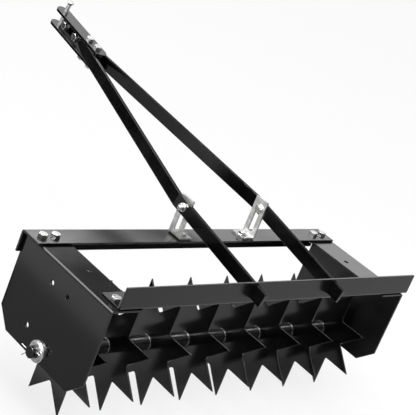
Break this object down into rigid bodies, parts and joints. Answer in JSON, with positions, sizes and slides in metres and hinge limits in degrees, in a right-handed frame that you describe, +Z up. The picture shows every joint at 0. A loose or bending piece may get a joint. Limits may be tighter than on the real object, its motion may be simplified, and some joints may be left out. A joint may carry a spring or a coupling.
{
  "type": "tow-behind spike aerator",
  "caption": "Tow-behind lawn aerator with spiked stars on an axle, a black folded-plate frame and a bent two-bar tongue with a hitch pin.",
  "frame": {"origin": "on the ground, under the middle of the machine's overall box; the spikes' tips stand on the ground plane", "axes": "+X along the axle to the right, seen from behind; +Y forward to the hitch; +Z up"},
  "size_m": [0.8266, 0.926, 0.5036],
  "materials": {
    "black_paint": "glossy black paint",
    "zinc_plate": "bright zinc plating",
    "bright_steel": "ground steel bar"
  },
  "bodies": {
    "frame": {"left_end_plate": "black_paint", "right_end_plate": "black_paint", "front_bar": "black_paint", "rear_bar": "black_paint", "front_left_bolts": "zinc_plate", "front_left_nuts": "zinc_plate", "front_right_bolts": "zinc_plate", "front_right_nuts": "zinc_plate", "rear_left_bolts": "zinc_plate", "rear_left_nuts": "zinc_plate", "rear_right_bolts": "zinc_plate", "rear_right_nuts": "zinc_plate", "left_bracket": "zinc_plate", "left_foot_bolt": "zinc_plate", "left_foot_nut": "zinc_plate", "right_bracket": "zinc_plate", "right_foot_bolt": "zinc_plate", "right_foot_nut": "zinc_plate"},
    "rotor": {"axle": "bright_steel", "spacer_1": "black_paint", "spacer_2": "black_paint", "spacer_3": "black_paint", "spacer_4": "black_paint", "spacer_5": "black_paint", "spacer_6": "black_paint", "spacer_7": "black_paint", "spacer_8": "black_paint", "spacer_9": "black_paint", "star_1": "black_paint", "star_2": "black_paint", "star_3": "black_paint", "star_4": "black_paint", "star_5": "black_paint", "star_6": "black_paint", "star_7": "black_paint", "star_8": "black_paint", "left_washer": "zinc_plate", "left_outer_washer": "zinc_plate", "left_cotter": "zinc_plate", "right_washer": "zinc_plate", "right_outer_washer": "zinc_plate", "right_cotter": "zinc_plate"},
    "tongue": {"left_tongue_bar": "black_paint", "right_tongue_bar": "black_paint", "upper_strap": "black_paint", "lower_strap": "black_paint", "left_slot_bolt": "zinc_plate", "left_slot_washers": "zinc_plate", "left_slot_nut": "zinc_plate", "right_slot_bolt": "zinc_plate", "right_slot_washers": "zinc_plate", "right_slot_nut": "zinc_plate", "hitch_side_bolts": "zinc_plate", "hitch_side_nuts": "zinc_plate", "hitch_top_bolts": "zinc_plate", "hitch_top_nuts": "zinc_plate"},
    "pin": {"hitch_pin": "zinc_plate"}
  },
  "joints": [
    {"name": "rotor_spin", "type": "hinge", "parent": "frame", "child": "rotor", "pos_m": [0, -0.30645, 0.10994], "axis": [1, 0, 0], "continuous": true},
    {"name": "tongue_height", "type": "hinge", "parent": "frame", "child": "tongue", "pos_m": [0.041, -0.43295, 0.29744], "axis": [1, 0, 0], "range_deg": [-10, 0]},
    {"name": "hitch_pin_slide", "type": "slide", "parent": "tongue", "child": "pin", "axis": [0, -0.1788, 0.9839], "range_m": [-0.0195, 0.065]}
  ]
}
